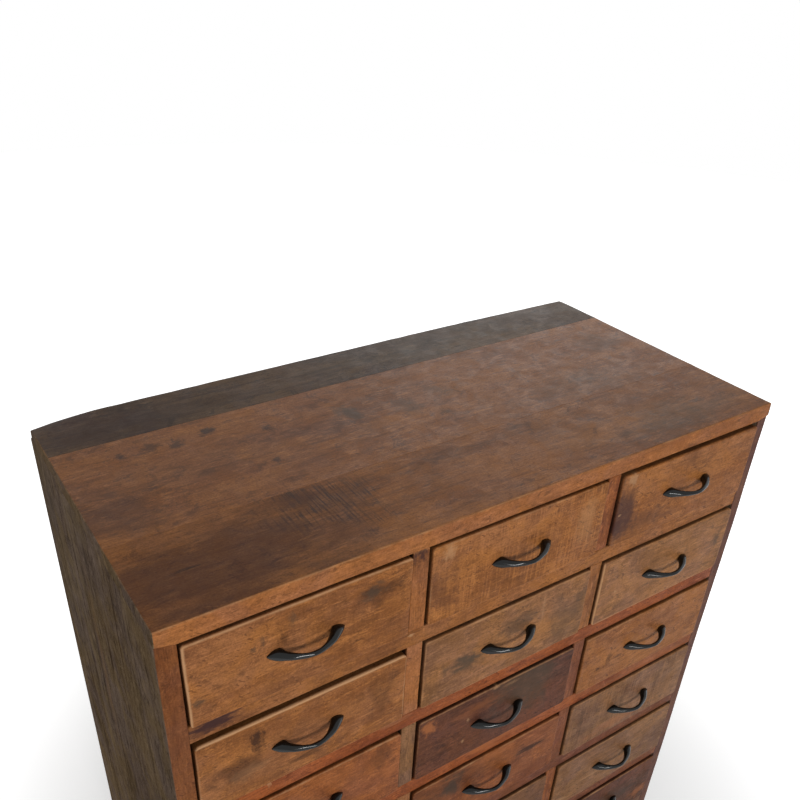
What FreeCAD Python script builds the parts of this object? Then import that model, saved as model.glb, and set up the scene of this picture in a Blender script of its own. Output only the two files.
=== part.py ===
import FreeCAD, Part
import math
import os

# A floor-standing chest of eighteen small drawers in old mixed timber.
# Three columns of six drawers sit in a flush face frame, and each drawer
# has a cast bow handle. Millimetres, +Z up, and the front faces -Y.
# The origin is on the floor, below the middle of the chest and its handles.

# The case
HEIGHT = 940.0
DEPTH = 440.0
LEFT_SIDE = 22.0
RIGHT_SIDE = 20.0
COLUMN_WIDTHS = [270.5, 275.5, 270.5]
DIVIDER_WIDTHS = [22.5, 21.0]
ROWS = 6
OPENING_HEIGHT = 117.0
RAIL_HEIGHT = 24.5
FRAME_DEPTH = 20.0
FRAME_ARRIS = 1.2

# The top, three boards edge to edge, thinner where it laps the two sides
TOP_THICKNESS = 24.0
TOP_END_THICKNESS = 19.0
TOP_BOARD_DEPTHS = [142.0, 206.0, 92.0]
TOP_ARRIS = 2.5

# The back, the bottom and what the drawers run on
BACK_THICKNESS = 10.0
BACK_REBATE = 11.0
BACK_FOOT_GAP = 8.0
BOTTOM_THICKNESS = 12.0
RUNNER_WIDTH = 18.0
PLINTH_SETBACK = 4.0

# The drawers
FRONT_THICKNESS = 18.0
FRONT_PROUD = 4.0
FRONT_SIDE_GAP = 2.0
FRONT_BOTTOM_GAP = 0.8
FRONT_ARRIS = 2.5
FRONT_CORNER = 4.0
# The gap above each front, row by row from the top, as the old boards have it
FRONT_TOP_GAPS = [
    [2.2, 2.0, 4.5],
    [5.5, 2.5, 2.8],
    [2.5, 2.2, 3.0],
    [3.5, 2.4, 2.2],
    [2.5, 3.2, 2.4],
    [2.8, 2.2, 2.6],
]
BOX_SIDE_CLEARANCE = 0.5
BOX_RUN_CLEARANCE = 0.4
BOX_BACK_CLEARANCE = 1.0
BOX_SIDE_HEIGHT = 95.0
BOX_BOARD = 12.0
BOX_BACK_DROP = 5.0
BOX_TOP_ARRIS = 2.0
PANEL_THICKNESS = 6.0
PANEL_UP = 10.0
GROOVE_DEPTH = 5.0

# The cast bow handle: at each distance from its middle, how far its back and
# its front stand off the drawer, its half height, and how far its centre drops
HANDLE_REACH = 24.0
HANDLE_STATIONS = [
    # along, back, front, half height, drop
    [0.0, 17.8, HANDLE_REACH, 2.7, 0.0],
    [9.0, 16.9, 22.8, 3.2, 0.0],
    [17.0, 13.0, 20.4, 3.8, 0.0],
    [25.5, 4.9, 17.0, 4.6, 0.1],
    [32.0, 0.0, 13.0, 5.9, 0.2],
    [40.5, 0.0, 7.4, 5.7, 0.8],
    [46.3, 0.0, 1.5, 1.2, 1.7],
]
HANDLE_SECTION_CORNERS = 12

# The two screws that hold each handle from inside the drawer
SCREW_SPACING = 76.0
SCREW_RADIUS = 2.0
SCREW_HOLE_RADIUS = 2.7
SCREW_HEAD_RADIUS = 4.4
SCREW_HEAD_HEIGHT = 2.6
SCREW_INTO_HANDLE = 5.0
TAPPED_HOLE_RADIUS = 2.15
TAPPED_HOLE_DEPTH = 5.6

# Worked out from the sizes above
WIDTH = LEFT_SIDE + RIGHT_SIDE + sum(COLUMN_WIDTHS) + sum(DIVIDER_WIDTHS)
REACH_IN_FRONT = FRONT_PROUD + HANDLE_REACH
CASE_FRONT = REACH_IN_FRONT - (DEPTH + REACH_IN_FRONT) / 2.0
CASE_BACK = CASE_FRONT + DEPTH
CASE_LEFT = -WIDTH / 2.0
CASE_RIGHT = WIDTH / 2.0
INNER_LEFT = CASE_LEFT + LEFT_SIDE
INNER_RIGHT = CASE_RIGHT - RIGHT_SIDE
FRAME_BACK = CASE_FRONT + FRAME_DEPTH
PANEL_FACE = CASE_BACK - BACK_THICKNESS
UNDER_TOP = HEIGHT - TOP_THICKNESS
ROW_PITCH = OPENING_HEIGHT + RAIL_HEIGHT
CASE_FLOOR = UNDER_TOP - ROWS * ROW_PITCH
FRONT_FACE = CASE_FRONT - FRONT_PROUD
FRONT_BACK = FRONT_FACE + FRONT_THICKNESS
BOX_BACK = PANEL_FACE - BOX_BACK_CLEARANCE


def vec(x, y, z):
    return FreeCAD.Vector(x, y, z)


def block(low, high):
    """A straight board between two opposite corners."""
    size = [high[i] - low[i] for i in range(3)]
    return Part.makeBox(size[0], size[1], size[2], vec(*low))


def extruded(points, along):
    """A solid swept from a closed outline of straight edges."""
    wire = Part.makePolygon([vec(*p) for p in points + points[:1]])
    return Part.Face(wire).extrude(vec(*along))


def rounded(shape, radius, chosen):
    """Fillet the edges whose middle point passes the test."""
    edges = [e for e in shape.Edges if chosen(e.CenterOfMass)]
    return shape.makeFillet(radius, edges)


def eased(shape, width, chosen):
    """Chamfer the edges whose middle point passes the test."""
    edges = [e for e in shape.Edges if chosen(e.CenterOfMass)]
    return shape.makeChamfer(width, edges)


def near(a, b):
    return abs(a - b) < 0.01


def opening_left(column):
    """The left edge of a column of drawer openings."""
    return INNER_LEFT + sum(COLUMN_WIDTHS[:column]) + sum(DIVIDER_WIDTHS[:column])


def opening_bottom(row):
    """The height that the drawers of a row run at."""
    return UNDER_TOP - row * ROW_PITCH - OPENING_HEIGHT


def top_boards():
    """Three boards with bevelled ends that lap the sides."""
    end_line = HEIGHT - TOP_END_THICKNESS
    solids = []
    front = CASE_FRONT
    for number, depth in enumerate(TOP_BOARD_DEPTHS):
        outline = [
            (CASE_LEFT, front, end_line),
            (INNER_LEFT, front, UNDER_TOP),
            (INNER_RIGHT, front, UNDER_TOP),
            (CASE_RIGHT, front, end_line),
            (CASE_RIGHT, front, HEIGHT),
            (CASE_LEFT, front, HEIGHT),
        ]
        board = extruded(outline, (0, depth, 0))
        is_first = number == 0
        is_last = number == len(TOP_BOARD_DEPTHS) - 1

        def worn(p):
            on_end = near(abs(p.x), WIDTH / 2.0) and near(p.z, HEIGHT)
            on_front = is_first and near(p.y, CASE_FRONT) and near(p.z, HEIGHT)
            on_back = is_last and near(p.y, CASE_BACK) and near(p.z, HEIGHT)
            return on_end or on_front or on_back

        solids.append(rounded(board, TOP_ARRIS, worn))
        front += depth
    return Part.makeCompound(solids)


def side_panel(outer, inner):
    """One side, with a slanted top edge and a rebate for the back panel."""
    outline = [
        (outer, CASE_FRONT, 0.0),
        (inner, CASE_FRONT, 0.0),
        (inner, CASE_FRONT, UNDER_TOP),
        (outer, CASE_FRONT, HEIGHT - TOP_END_THICKNESS),
    ]
    board = extruded(outline, (0, DEPTH, 0))
    toward_outside = math.copysign(BACK_REBATE, outer)
    rebate_edges = sorted([inner - math.copysign(1.0, outer), inner + toward_outside])
    rebate = block(
        (rebate_edges[0], PANEL_FACE, -1.0),
        (rebate_edges[1], CASE_BACK + 1.0, HEIGHT),
    )
    board = board.cut(rebate)

    def worn(p):
        return near(p.x, outer) and near(p.y, CASE_FRONT)

    return rounded(board, FRAME_ARRIS, worn)


def back_panel():
    """A sheet let into the rebates of both sides."""
    return block(
        (INNER_LEFT - BACK_REBATE, PANEL_FACE, BACK_FOOT_GAP),
        (INNER_RIGHT + BACK_REBATE, CASE_BACK, UNDER_TOP),
    )


def frame_bar(low, high):
    """A bar of the face frame with its two long front edges softened."""
    bar = block(low, high)
    is_upright = high[2] - low[2] > high[0] - low[0]

    def worn(p):
        if not near(p.y, low[1]):
            return False
        if is_upright:
            return near(p.x, low[0]) or near(p.x, high[0])
        return near(p.z, low[2]) or near(p.z, high[2])

    return eased(bar, FRAME_ARRIS, worn)


def face_frame():
    """Rails from side to side, short dividers between them, and a plinth."""
    bars = []
    for row in range(ROWS):
        sill = opening_bottom(row)
        bars.append(frame_bar(
            (INNER_LEFT, CASE_FRONT, sill - RAIL_HEIGHT),
            (INNER_RIGHT, FRAME_BACK, sill),
        ))
        for column, width in enumerate(DIVIDER_WIDTHS):
            left = opening_left(column) + COLUMN_WIDTHS[column]
            bars.append(frame_bar(
                (left, CASE_FRONT, sill),
                (left + width, FRAME_BACK, sill + OPENING_HEIGHT),
            ))
    bars.append(frame_bar(
        (INNER_LEFT, CASE_FRONT + PLINTH_SETBACK, 0.0),
        (INNER_RIGHT, FRAME_BACK, CASE_FLOOR),
    ))
    return Part.makeCompound(bars)


def runner(left, sill, foot):
    """A batten that one side of a drawer slides on."""
    return block((left, FRAME_BACK, foot), (left + RUNNER_WIDTH, PANEL_FACE, sill))


def inner_frame():
    """The bottom, two upright partitions and two runners for each drawer."""
    floor_top = CASE_FLOOR + BOTTOM_THICKNESS
    solids = [block((INNER_LEFT, FRAME_BACK, CASE_FLOOR), (INNER_RIGHT, PANEL_FACE, floor_top))]
    for column, width in enumerate(DIVIDER_WIDTHS):
        left = opening_left(column) + COLUMN_WIDTHS[column]
        solids.append(block((left, FRAME_BACK, floor_top), (left + width, PANEL_FACE, UNDER_TOP)))
    for row in range(ROWS):
        sill = opening_bottom(row)
        foot = max(sill - RAIL_HEIGHT, floor_top)
        for column, width in enumerate(COLUMN_WIDTHS):
            left = opening_left(column)
            solids.append(runner(left, sill, foot))
            solids.append(runner(left + width - RUNNER_WIDTH, sill, foot))
    return Part.makeCompound(solids)


def polygon_rod(centre, radius, sides, length):
    """A rod along +Y with a regular polygon for its section."""
    corners = []
    for i in range(sides):
        angle = 2.0 * math.pi * i / sides
        x = centre[0] + radius * math.cos(angle)
        z = centre[2] + radius * math.sin(angle)
        corners.append((x, centre[1], z))
    return extruded(corners, (0, length, 0))


def screw_places(row, column):
    """Where the two handle screws stand, as pairs of x and z."""
    middle = opening_left(column) + COLUMN_WIDTHS[column] / 2.0
    height = opening_bottom(row) + OPENING_HEIGHT / 2.0
    return [(middle - SCREW_SPACING / 2.0, height), (middle + SCREW_SPACING / 2.0, height)]


def drawer_front(row, column):
    """The visible board: worn corners and arrises, a groove and two holes."""
    left = opening_left(column) + FRONT_SIDE_GAP
    right = opening_left(column) + COLUMN_WIDTHS[column] - FRONT_SIDE_GAP
    low = opening_bottom(row) + FRONT_BOTTOM_GAP
    high = opening_bottom(row) + OPENING_HEIGHT - FRONT_TOP_GAPS[row][column]
    c = FRONT_CORNER
    outline = [
        (left + c, FRONT_FACE, low),
        (right - c, FRONT_FACE, low),
        (right, FRONT_FACE, low + c),
        (right, FRONT_FACE, high - c),
        (right - c, FRONT_FACE, high),
        (left + c, FRONT_FACE, high),
        (left, FRONT_FACE, high - c),
        (left, FRONT_FACE, low + c),
    ]
    board = extruded(outline, (0, FRONT_THICKNESS, 0))
    board = eased(board, FRONT_ARRIS, lambda p: near(p.y, FRONT_FACE))

    inset = BOX_SIDE_CLEARANCE + BOX_BOARD - GROOVE_DEPTH
    groove_low = opening_bottom(row) + BOX_RUN_CLEARANCE + PANEL_UP
    groove = block(
        (left + inset, FRONT_BACK - GROOVE_DEPTH, groove_low),
        (right - inset, FRONT_BACK + 1.0, groove_low + PANEL_THICKNESS),
    )
    board = board.cut(groove)
    for x, z in screw_places(row, column):
        hole = polygon_rod((x, FRONT_FACE - 1.0, z), SCREW_HOLE_RADIUS, 6, FRONT_THICKNESS + 2.0)
        board = board.cut(hole)
    return board


def box_side(outer, inward, low):
    """A drawer side: rounded along its top, grooved for the bottom panel."""
    inner = outer + inward * BOX_BOARD
    left = min(outer, inner)
    board = block((left, FRONT_BACK, low), (left + BOX_BOARD, BOX_BACK, low + BOX_SIDE_HEIGHT))
    top = low + BOX_SIDE_HEIGHT
    middle = (FRONT_BACK + BOX_BACK) / 2.0
    board = eased(board, BOX_TOP_ARRIS, lambda p: near(p.z, top) and near(p.y, middle))
    groove_floor = inner - inward * GROOVE_DEPTH
    past_face = inner + inward
    groove = block(
        (min(groove_floor, past_face), FRONT_BACK - 1.0, low + PANEL_UP),
        (max(groove_floor, past_face), BOX_BACK + 1.0, low + PANEL_UP + PANEL_THICKNESS),
    )
    return board.cut(groove)


def drawer_box(row, column):
    """Two grooved sides, a back board, and a bottom panel slid in from behind."""
    gap = FRONT_SIDE_GAP + BOX_SIDE_CLEARANCE
    left = opening_left(column) + gap
    right = opening_left(column) + COLUMN_WIDTHS[column] - gap
    low = opening_bottom(row) + BOX_RUN_CLEARANCE
    panel_low = low + PANEL_UP
    panel_high = panel_low + PANEL_THICKNESS
    groove_inset = BOX_BOARD - GROOVE_DEPTH
    back_board = block(
        (left + BOX_BOARD, BOX_BACK - BOX_BOARD, panel_high),
        (right - BOX_BOARD, BOX_BACK, low + BOX_SIDE_HEIGHT - BOX_BACK_DROP),
    )
    panel = block(
        (left + groove_inset, FRONT_BACK - GROOVE_DEPTH, panel_low),
        (right - groove_inset, BOX_BACK, panel_high),
    )
    return Part.makeCompound([box_side(left, 1, low), box_side(right, -1, low), back_board, panel])


def handle_section(along, back, front, half_height, drop):
    """The corners of one cross section of the bow. A foot is flat on the drawer."""
    is_foot = back == 0.0
    middle = (front + back) / 2.0
    half_depth = (front - back) / 2.0
    corners = []
    for i in range(HANDLE_SECTION_CORNERS):
        angle = -math.pi / 2.0 + 2.0 * math.pi * i / HANDLE_SECTION_CORNERS
        stand_off = middle + half_depth * math.cos(angle)
        if is_foot:
            stand_off = front * max(math.cos(angle), 0.0)
        corners.append(vec(along, -stand_off, half_height * math.sin(angle) - drop))
    return corners


def flat_face(corners):
    return Part.Face(Part.makePolygon(corners + corners[:1]))


def faceted_loft(sections):
    """A solid through its sections, in flat facets that keep a small casting light."""
    faces = [flat_face(sections[0]), flat_face(sections[-1])]
    for one, other in zip(sections, sections[1:]):
        for i in range(len(one)):
            after = (i + 1) % len(one)
            faces.append(flat_face([one[i], one[after], other[after]]))
            faces.append(flat_face([one[i], other[after], other[i]]))
    shell = Part.Shell(faces)
    shell.sewShape()
    return Part.Solid(shell).removeSplitter()


def handle(row, column):
    """The cast bow with its tapped feet, and the two screws behind it."""
    mirrored = [[-s[0]] + s[1:] for s in reversed(HANDLE_STATIONS[1:])]
    bow = faceted_loft([handle_section(*s) for s in mirrored + HANDLE_STATIONS])
    places = screw_places(row, column)
    bow.translate(vec((places[0][0] + places[1][0]) / 2.0, FRONT_FACE, places[0][1]))
    solids = []
    for x, z in places:
        tapped = polygon_rod((x, FRONT_FACE - TAPPED_HOLE_DEPTH, z), TAPPED_HOLE_RADIUS, 6,
                             TAPPED_HOLE_DEPTH + 1.0)
        bow = bow.cut(tapped)
        shank_start = FRONT_FACE - SCREW_INTO_HANDLE
        shank = polygon_rod((x, shank_start, z), SCREW_RADIUS, 6, FRONT_BACK - shank_start)
        head = polygon_rod((x, FRONT_BACK, z), SCREW_HEAD_RADIUS, 8, SCREW_HEAD_HEIGHT)
        solids.append(shank.fuse(head))
    return Part.makeCompound([bow] + solids)


def save(shape, node):
    shape.exportStep("parts/" + node + ".step")


os.makedirs("parts", exist_ok=True)
save(top_boards(), "top_boards")
save(side_panel(CASE_LEFT, INNER_LEFT), "left_side")
save(side_panel(CASE_RIGHT, INNER_RIGHT), "right_side")
save(back_panel(), "back_panel")
save(face_frame(), "face_frame")
save(inner_frame(), "inner_frame")
for row in range(ROWS):
    for column in range(len(COLUMN_WIDTHS)):
        place = "r%dc%d" % (row + 1, column + 1)
        save(drawer_front(row, column), "drawer_front_" + place)
        save(drawer_box(row, column), "drawer_box_" + place)
        save(handle(row, column), "handle_" + place)
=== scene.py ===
import math

import bmesh
import bpy
from mathutils import Matrix, Vector, noise


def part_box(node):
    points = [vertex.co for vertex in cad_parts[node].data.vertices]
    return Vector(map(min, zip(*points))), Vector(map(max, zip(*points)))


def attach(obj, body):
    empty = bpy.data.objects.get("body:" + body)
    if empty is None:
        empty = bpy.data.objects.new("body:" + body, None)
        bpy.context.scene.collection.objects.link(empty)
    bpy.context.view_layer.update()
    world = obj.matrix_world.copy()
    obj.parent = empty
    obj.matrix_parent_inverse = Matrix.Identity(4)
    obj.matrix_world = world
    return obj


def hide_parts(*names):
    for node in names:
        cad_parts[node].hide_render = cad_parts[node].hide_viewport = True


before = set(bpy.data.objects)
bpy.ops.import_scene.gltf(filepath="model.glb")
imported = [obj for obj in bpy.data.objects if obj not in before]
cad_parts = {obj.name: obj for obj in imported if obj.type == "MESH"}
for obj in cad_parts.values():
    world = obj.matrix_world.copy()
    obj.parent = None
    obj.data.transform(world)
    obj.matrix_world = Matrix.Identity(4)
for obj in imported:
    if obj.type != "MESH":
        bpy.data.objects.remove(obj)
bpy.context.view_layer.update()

# The top: three old boards laid edge to edge and waxed, each with a tone of its
# own, darkest at the back. They thin out from below where they lap the sides,
# and the back edge has worn in, most of all at its left end.
MM = 0.001
LEFT, RIGHT = (0, -1), (0, 1)
FRONT, BACK = (1, -1), (1, 1)
DOWN, UP = (2, -1), (2, 1)
# How far in from a board's edges its mesh has lines, in mm
EDGE_STEPS = [0.0, 0.5, 1.1, 1.8, 2.7, 4.0, 6.5, 11.0]
WEAR_WIDTH = 5.0 * MM
SHARP = 0.5 * MM
# An arris is fully worn to this depth behind the seen face, then gets sharper
WORN_DEPTH = 4.0 * MM
FADE_DEPTH = 6.0 * MM
SHARPER_BEHIND = 0.75
WANDER_REACH = 20.0 * MM
WANDER_SCALE = 14.0
UNEVEN_SCALE = 55.0
# Keeps every board this little inside its solid
HAIR = (0.001 * MM, 0.001 * MM, 0.001 * MM)


def grid_lines(low, high, spacing, extra=()):
    """Places across a board: close together by its edges and even between."""
    steps = [d * MM for d in EDGE_STEPS if d * MM < 0.45 * (high - low)]
    inner = high - low - 2.0 * steps[-1]
    count = max(1, round(inner / spacing))
    lines = [low + d for d in steps] + [high - d for d in steps]
    lines += [low + steps[-1] + inner * i / count for i in range(1, count)]
    lines += [x for x in extra if low < x < high]
    return sorted({round(x, 6) for x in lines})


def box_skin(lines):
    """The points and the quads of a closed box with these lines on each axis."""
    points, numbers, quads = [], {}, []
    for axis in range(3):
        u, v = (axis + 1) % 3, (axis + 2) % 3
        for end in (0, len(lines[axis]) - 1):
            for a in range(len(lines[u]) - 1):
                for b in range(len(lines[v]) - 1):
                    quad = []
                    for da, db in ((0, 0), (1, 0), (1, 1), (0, 1)):
                        key = [end, end, end]
                        key[u], key[v] = a + da, b + db
                        key = tuple(key)
                        if key not in numbers:
                            numbers[key] = len(points)
                            points.append(Vector([lines[i][key[i]] for i in range(3)]))
                        quad.append(numbers[key])
                    quads.append(quad if end else quad[::-1])
    return points, quads


def round_corners(point, low, high, plane, radii):
    """Pulls a point near a corner of the board's outline on to an arc."""
    u, v = plane
    for (side_u, side_v), radius in radii.items():
        edge_u = high[u] if side_u > 0 else low[u]
        edge_v = high[v] if side_v > 0 else low[v]
        a = (point[u] - edge_u) * side_u / radius + 1.0
        b = (point[v] - edge_v) * side_v / radius + 1.0
        if a > 0.0 and b > 0.0:
            point[u] = edge_u + side_u * radius * (a * math.sqrt(1.0 - b * b / 2.0) - 1.0)
            point[v] = edge_v + side_v * radius * (b * math.sqrt(1.0 - a * a / 2.0) - 1.0)
    return point


def link_mesh(name, points, faces):
    mesh = bpy.data.meshes.new(name)
    mesh.from_pydata([tuple(p) for p in points], [], faces)
    mesh.shade_smooth()
    piece = bpy.data.objects.new(name, mesh)
    bpy.context.scene.collection.objects.link(piece)
    return piece


def worn_board(name, low, high, show, arris, corner=0.0, wander=0.0, spacing=0.018,
               extra=None, seed=0.0, shape=None):
    """A board whose arrises have worn round by an uneven radius.

    show is the side that is seen. arris gives, for each side of the seen face, the
    radius there and how bare it is rubbed, which is kept in the attribute "wear".
    The attribute "depth" is how far behind the seen face a point lies, in mm.
    """
    low, high = Vector(low) + Vector(HAIR), Vector(high) - Vector(HAIR)
    lines = [grid_lines(low[i], high[i], spacing, (extra or {}).get(i, ())) for i in range(3)]
    points, quads = box_skin(lines)
    across = show[0]
    face = high[across] if show[1] > 0 else low[across]
    plane = [i for i in range(3) if i != across]
    radii = corner if isinstance(corner, dict) else {
        (a, b): corner for a in (-1, 1) for b in (-1, 1) if corner}
    wears, depths = [], []
    for number, point in enumerate(points):
        depth = abs(point[across] - face)
        total = share = wear = 0.0
        inward = Vector((0.0, 0.0, 0.0))
        for (axis, side), (radius, bare) in arris.items():
            gap = abs(point[axis] - (high[axis] if side > 0 else low[axis]))
            weight = 1.0 / (gap + SHARP) ** 2
            total += weight
            share += weight * radius
            wear = max(wear, bare * max(0.0, 1.0 - max(depth, gap) / WEAR_WIDTH))
            drift = noise.noise(point * WANDER_SCALE + Vector((seed, axis, side)))
            near = max(0.0, 1.0 - gap / WANDER_REACH)
            inward[axis] -= side * wander * max(0.0, 0.5 + drift) * near ** 2
        uneven = 1.0 + 0.5 * noise.noise(point * UNEVEN_SCALE + Vector((seed, 3.0, 7.0)))
        behind = min(1.0, max(0.0, (depth - WORN_DEPTH) / FADE_DEPTH))
        radius = max(0.2 * MM, share / total * uneven * (1.0 - SHARPER_BEHIND * behind))
        core = Vector([min(max(point[i], low[i] + radius), high[i] - radius) for i in range(3)])
        if (point - core).length > 0.0:
            point = core + (point - core).normalized() * radius
        point = round_corners(point, low, high, plane, radii) + inward
        points[number] = shape(point) if shape else point
        wears.append(wear)
        depths.append(depth / MM)
    board = link_mesh(name, points, quads)
    for label, values in (("wear", wears), ("depth", depths)):
        attribute = board.data.attributes.new(label, "FLOAT", "POINT")
        attribute.data.foreach_set("value", values)
    return board


def colour(code):
    """A colour written as #rrggbb, as the linear values that a shader takes."""
    channels = [int(code[i:i + 2], 16) / 255.0 for i in (1, 3, 5)]
    linear = [c / 12.92 if c <= 0.04045 else ((c + 0.055) / 1.055) ** 2.4 for c in channels]
    return (*linear, 1.0)


def node(tree, kind, settings=None, **sockets):
    """Adds a shader node. A socket is given its value, or the output that feeds it."""
    made = tree.nodes.new("ShaderNode" + kind)
    for key, value in (settings or {}).items():
        setattr(made, key, value)
    for key, value in sockets.items():
        feed(tree, made.inputs[key.replace("_", " ")], value)
    return made


def feed(tree, socket, value):
    if isinstance(value, bpy.types.NodeSocket):
        tree.links.new(value, socket)
    else:
        socket.default_value = value


def maths(tree, operation, one, other=0.0):
    made = node(tree, "Math", {"operation": operation})
    feed(tree, made.inputs[0], one)
    feed(tree, made.inputs[1], other)
    return made.outputs[0]


def times(tree, one, other):
    return maths(tree, "MULTIPLY", one, other)


def vectors(tree, operation, one, other):
    made = node(tree, "VectorMath", {"operation": operation})
    feed(tree, made.inputs[0], one)
    feed(tree, made.inputs[1], other)
    return made.outputs["Value" if operation == "LENGTH" else "Vector"]


def blend(tree, factor, one, other):
    """A colour between two others. The colour sockets of a Mix node are 6 and 7."""
    made = node(tree, "Mix", {"data_type": "RGBA"})
    feed(tree, made.inputs[0], factor)
    feed(tree, made.inputs[6], one)
    feed(tree, made.inputs[7], other)
    return made.outputs[2]


def ramp(tree, value, start, end, low=0.0, high=1.0):
    """Eases from low to high as the value goes from start to end."""
    made = node(tree, "MapRange", {"interpolation_type": "SMOOTHSTEP"}, Value=value)
    for number, amount in enumerate((start, end, low, high), start=1):
        feed(tree, made.inputs[number], amount)
    return made.outputs[0]


def cloud(tree, place, scale, detail=3.0, roughness=0.55, distortion=0.0):
    made = node(tree, "TexNoise", None, Vector=place, Scale=scale, Detail=detail,
                Roughness=roughness, Distortion=distortion)
    return made.outputs[0]


def new_group(name, inputs, outputs):
    """A node group with these inputs, each with its kind and value, and these outputs."""
    group = bpy.data.node_groups.new(name, "ShaderNodeTree")
    for label, (kind, value) in inputs.items():
        socket = group.interface.new_socket(label, in_out="INPUT", socket_type="NodeSocket" + kind)
        socket.default_value = value
    for label, kind in outputs.items():
        group.interface.new_socket(label, in_out="OUTPUT", socket_type="NodeSocket" + kind)
    return group, group.nodes.new("NodeGroupInput").outputs, group.nodes.new("NodeGroupOutput").inputs


def scratches(tree, place, turn, scale, stretch, start, end):
    """Thin strokes that all lie one way, turned about the three axes."""
    turned = node(tree, "VectorRotate", {"rotation_type": "EULER_XYZ"}, Vector=place, Rotation=turn)
    drawn = vectors(tree, "MULTIPLY", turned.outputs[0], stretch)
    return ramp(tree, cloud(tree, drawn, scale, 2.0, 0.5), start, end)


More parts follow.
